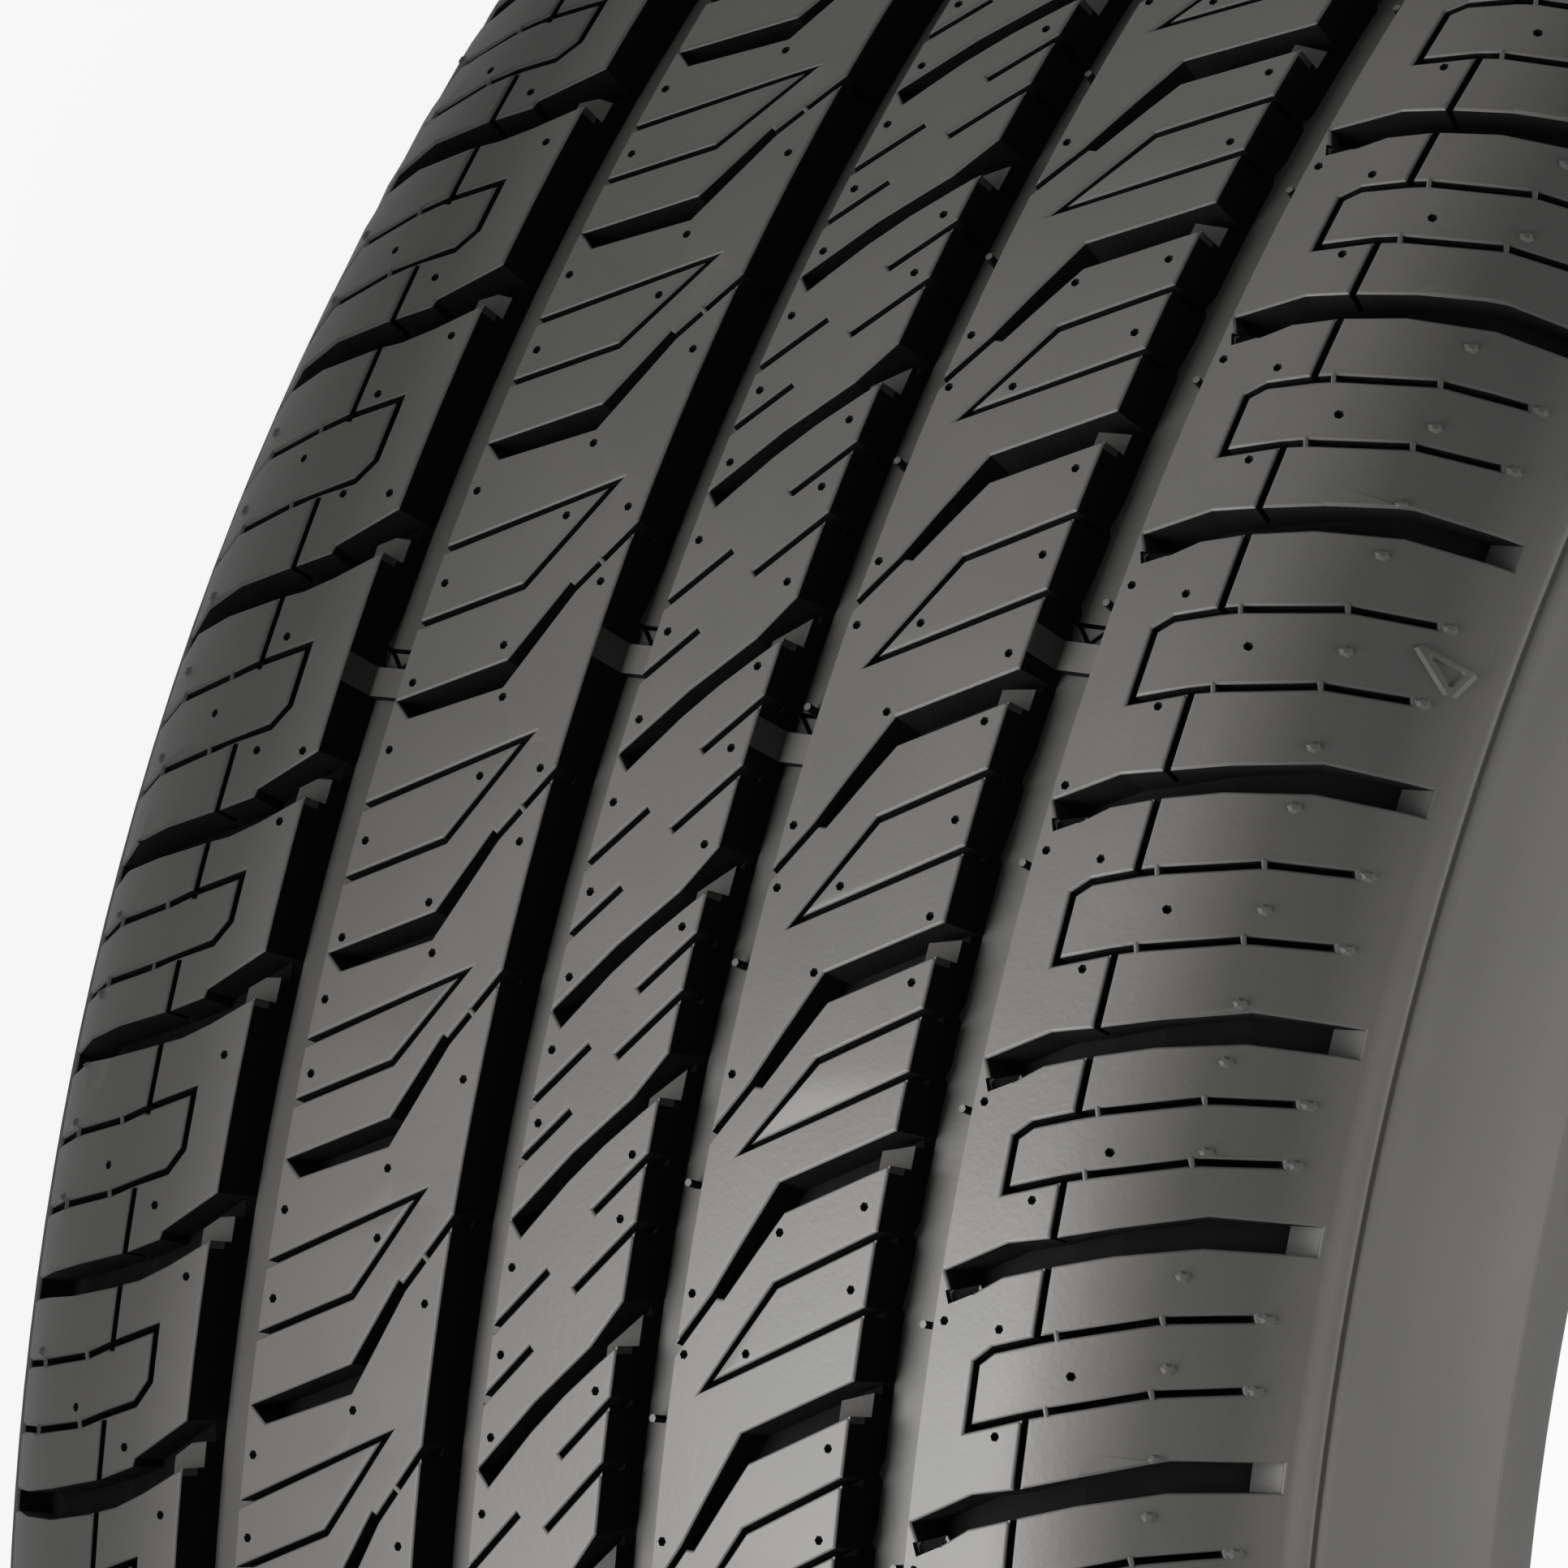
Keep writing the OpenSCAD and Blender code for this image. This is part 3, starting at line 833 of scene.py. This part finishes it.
def rubber(name, rough_from, rough_to, shade_band, tones=TONES, gloss=0.5):
    """A rubber with patches in its tone and roughness, a fine grain, and painted shade: darker
    bands by height and each face's own painted shade.
    """
    made = bpy.data.materials.new(name)
    made.use_nodes = True
    nodes, links = made.node_tree.nodes, made.node_tree.links
    shader = nodes["Principled BSDF"]
    shader.inputs["IOR"].default_value = 1.35
    shader.inputs["Specular IOR Level"].default_value = gloss
    place = nodes.new("ShaderNodeTexCoord")

    patches = nodes.new("ShaderNodeTexNoise")
    patches.inputs["Scale"].default_value = PATCH_SCALE
    patches.inputs["Detail"].default_value = 5
    links.new(place.outputs["Object"], patches.inputs["Vector"])
    tone = nodes.new("ShaderNodeValToRGB")
    for stop, position, color in zip(tone.color_ramp.elements, (0.3, 0.7), tones):
        stop.position, stop.color = position, (*color, 1)
    links.new(patches.outputs["Fac"], tone.inputs["Fac"])
    rough = nodes.new("ShaderNodeMapRange")
    rough.inputs["To Min"].default_value = rough_from
    rough.inputs["To Max"].default_value = rough_to
    links.new(patches.outputs["Fac"], rough.inputs["Value"])

    # The stronger of the painted shade band at this height and the face's own painted shade
    parts = nodes.new("ShaderNodeSeparateXYZ")
    links.new(place.outputs["Object"], parts.inputs[0])
    height = nodes.new("ShaderNodeMapRange")
    height.inputs["From Min"].default_value = -BAND_REACH * MM
    height.inputs["From Max"].default_value = BAND_REACH * MM
    links.new(parts.outputs["Z"], height.inputs["Value"])
    shade_belt = nodes.new("ShaderNodeValToRGB")
    while len(shade_belt.color_ramp.elements) < len(shade_band):
        shade_belt.color_ramp.elements.new(0.5)
    for stop, (z, value) in zip(shade_belt.color_ramp.elements, shade_band):
        stop.position = (z + BAND_REACH) / (2 * BAND_REACH)
        stop.color = (value, value, value, 1)
    links.new(height.outputs["Result"], shade_belt.inputs["Fac"])
    cuts = nodes.new("ShaderNodeAttribute")
    cuts.attribute_name = "painted_shade"
    painted_shade_max = nodes.new("ShaderNodeMath")
    painted_shade_max.operation = "MAXIMUM"
    links.new(shade_belt.outputs["Color"], painted_shade_max.inputs[0])
    links.new(cuts.outputs["Fac"], painted_shade_max.inputs[1])

    # Input 6 and input 7 are the two colours of a mix, output 2 is its colour
    # Painted shade mixes the colour towards the painted shade colour and makes the surface rougher
    shade = nodes.new("ShaderNodeMix")
    shade.data_type = "RGBA"
    shade.inputs[7].default_value = (*PAINTED_SHADE_COLOUR, 1)
    links.new(painted_shade_max.outputs[0], shade.inputs["Factor"])
    links.new(tone.outputs["Color"], shade.inputs[6])
    links.new(shade.outputs[2], shader.inputs["Base Color"])
    dull = nodes.new("ShaderNodeMix")
    dull.inputs["B"].default_value = PAINTED_SHADE_ROUGHNESS
    links.new(painted_shade_max.outputs[0], dull.inputs["Factor"])
    links.new(rough.outputs["Result"], dull.inputs["A"])
    links.new(dull.outputs["Result"], shader.inputs["Roughness"])

    grain = nodes.new("ShaderNodeTexNoise")
    grain.inputs["Scale"].default_value = GRAIN_SCALE
    grain.inputs["Detail"].default_value = 3
    links.new(place.outputs["Object"], grain.inputs["Vector"])
    bump = nodes.new("ShaderNodeBump")
    bump.inputs["Strength"].default_value = 0.25
    bump.inputs["Distance"].default_value = 0.0002
    links.new(grain.outputs["Fac"], bump.inputs["Height"])
    links.new(bump.outputs["Normal"], shader.inputs["Normal"])
    return made


tread_look = rubber("tyre_tread_rubber", 0.40, 0.50, TREAD_SHADE_BAND)
side_look = rubber("tyre_side_rubber", 0.62, 0.74, SIDE_SHADE_BAND)
# On the walls and floors of slots and sipes and on groove walls: painted shade, a near-black colour
# with more roughness and less gloss that stands for the shade in these recesses
cut_shade_look = rubber("tyre_cut_painted_shade", 0.8, 0.9, SIDE_SHADE_BAND, CUT_PAINTED_SHADE_TONES, 0.1)
for piece, looks in ((tread_band, (tread_look, cut_shade_look)), (carcass, (side_look,))):
    for look in looks:
        piece.data.materials.append(look)
    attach(piece, "root")
    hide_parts("tyre")

# Camera, where the photograph was taken from
camera = bpy.data.objects.new("camera", bpy.data.cameras.new("camera"))
camera.location = (2.4269, 0.5341, 1.7591)
camera.rotation_euler = [math.radians(a) for a in (-7.965, -50.689, -155.239)]
camera.data.sensor_width = 36
camera.data.lens = 468.1
camera.data.clip_start, camera.data.clip_end = 0.1, 50
bpy.context.scene.collection.objects.link(camera)
bpy.context.scene.camera = camera


def lamp(name, place, aim, size, power):
    """A square lamp of a size in metres and a power in watts, turned towards a point."""
    data = bpy.data.lights.new(name, "AREA")
    data.shape, data.size, data.energy = "SQUARE", size, power
    made = bpy.data.objects.new(name, data)
    made.location = place
    made.rotation_euler = (Vector(aim) - Vector(place)).to_track_quat("-Z", "Y").to_euler()
    bpy.context.scene.collection.objects.link(made)


floor_z = cad_box[0].z
PANEL_GAP = 0.005
lamp("panel", (0.92, 0.48, floor_z + PANEL_GAP), (0.92, 0.48, 1), 0.8, 32)
lamp("top", (-0.4, -0.1, 1.8), (-0.1, 0, 0), 1.4, 45)


def backdrop_share(tree, share):
    """A socket that gives a share for the rays that show the backdrop, seen, mirrored or seen
    through, and 0 for the light that falls on things."""
    path = tree.nodes.new("ShaderNodeLightPath")
    first, second, scaled = (tree.nodes.new("ShaderNodeMath") for _ in range(3))
    first.operation = second.operation = "MAXIMUM"
    scaled.operation = "MULTIPLY"
    scaled.inputs[1].default_value = share
    tree.links.new(path.outputs["Is Camera Ray"], first.inputs[0])
    tree.links.new(path.outputs["Is Glossy Ray"], first.inputs[1])
    tree.links.new(first.outputs[0], second.inputs[0])
    tree.links.new(path.outputs["Is Transmission Ray"], second.inputs[1])
    tree.links.new(second.outputs[0], scaled.inputs[0])
    return scaled.outputs[0]


def mixed(tree, share, plain, white, end):
    """Feed an output with a plain shader, mixed with a white one where the backdrop is seen."""
    mix = tree.nodes.new("ShaderNodeMixShader")
    tree.links.new(backdrop_share(tree, share), mix.inputs[0])
    tree.links.new(plain.outputs[0], mix.inputs[1])
    tree.links.new(white.outputs[0], mix.inputs[2])
    tree.links.new(mix.outputs[0], end.inputs["Surface"])


WHITE = (1, 1, 1, 1)
SKY_LIGHT = 0.06
# The floor is white to the eye but for this rest, in which the tyre's shadow shows
FLOOR_WHITE = 0.92
FLOOR_SPAN = 20

world = bpy.data.worlds.new("studio")
bpy.context.scene.world = world
world.use_nodes = True
sky = world.node_tree
sky.nodes["Background"].inputs["Color"].default_value = WHITE
sky.nodes["Background"].inputs["Strength"].default_value = SKY_LIGHT
white_sky = sky.nodes.new("ShaderNodeBackground")
white_sky.inputs["Color"].default_value = WHITE
mixed(sky, 1, sky.nodes["Background"], white_sky, sky.nodes["World Output"])

floor_mesh = bpy.data.meshes.new("floor")
floor_mesh.from_pydata([(x * FLOOR_SPAN, y * FLOOR_SPAN, floor_z)
                        for x, y in ((-1, -1), (1, -1), (1, 1), (-1, 1))], [], [(0, 1, 2, 3)])
floor = bpy.data.objects.new("floor", floor_mesh)
bpy.context.scene.collection.objects.link(floor)
paper = bpy.data.materials.new("floor_paper")
paper.use_nodes = True
sheet = paper.node_tree.nodes["Principled BSDF"]
sheet.inputs["Base Color"].default_value = (0.58, 0.58, 0.58, 1)
sheet.inputs["Roughness"].default_value = 0.9
white_paper = paper.node_tree.nodes.new("ShaderNodeEmission")
white_paper.inputs["Color"].default_value = WHITE
mixed(paper.node_tree, FLOOR_WHITE, sheet, white_paper,
      paper.node_tree.nodes["Material Output"])
floor.data.materials.append(paper)

bpy.context.scene.view_settings.view_transform = "Standard"
